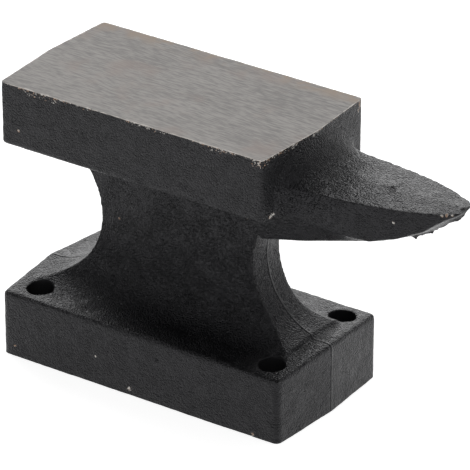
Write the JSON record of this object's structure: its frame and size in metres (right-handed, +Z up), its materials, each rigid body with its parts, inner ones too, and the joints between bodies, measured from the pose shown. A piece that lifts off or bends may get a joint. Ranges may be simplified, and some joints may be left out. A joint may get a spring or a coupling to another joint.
{
  "type": "anvil",
  "caption": "Small one-piece bench anvil: flat ground face, flat-topped pointed horn, narrow waist and a rectangular foot bored for bench bolts.",
  "frame": {"origin": "centre of the four bolt holes, on the flat underside of the foot", "axes": "+X along the face towards the horn, +Y across it, +Z up"},
  "size_m": [0.1747, 0.061, 0.1063],
  "materials": {
    "black_paint": "satin black paint over the grain of the sand casting",
    "ground_iron": "bare iron, ground lengthwise, faintly oxidised"
  },
  "bodies": {
    "root": {"foot": "black_paint", "waist": "black_paint", "body": "black_paint", "horn": "black_paint", "face": "ground_iron"}
  },
  "joints": []
}
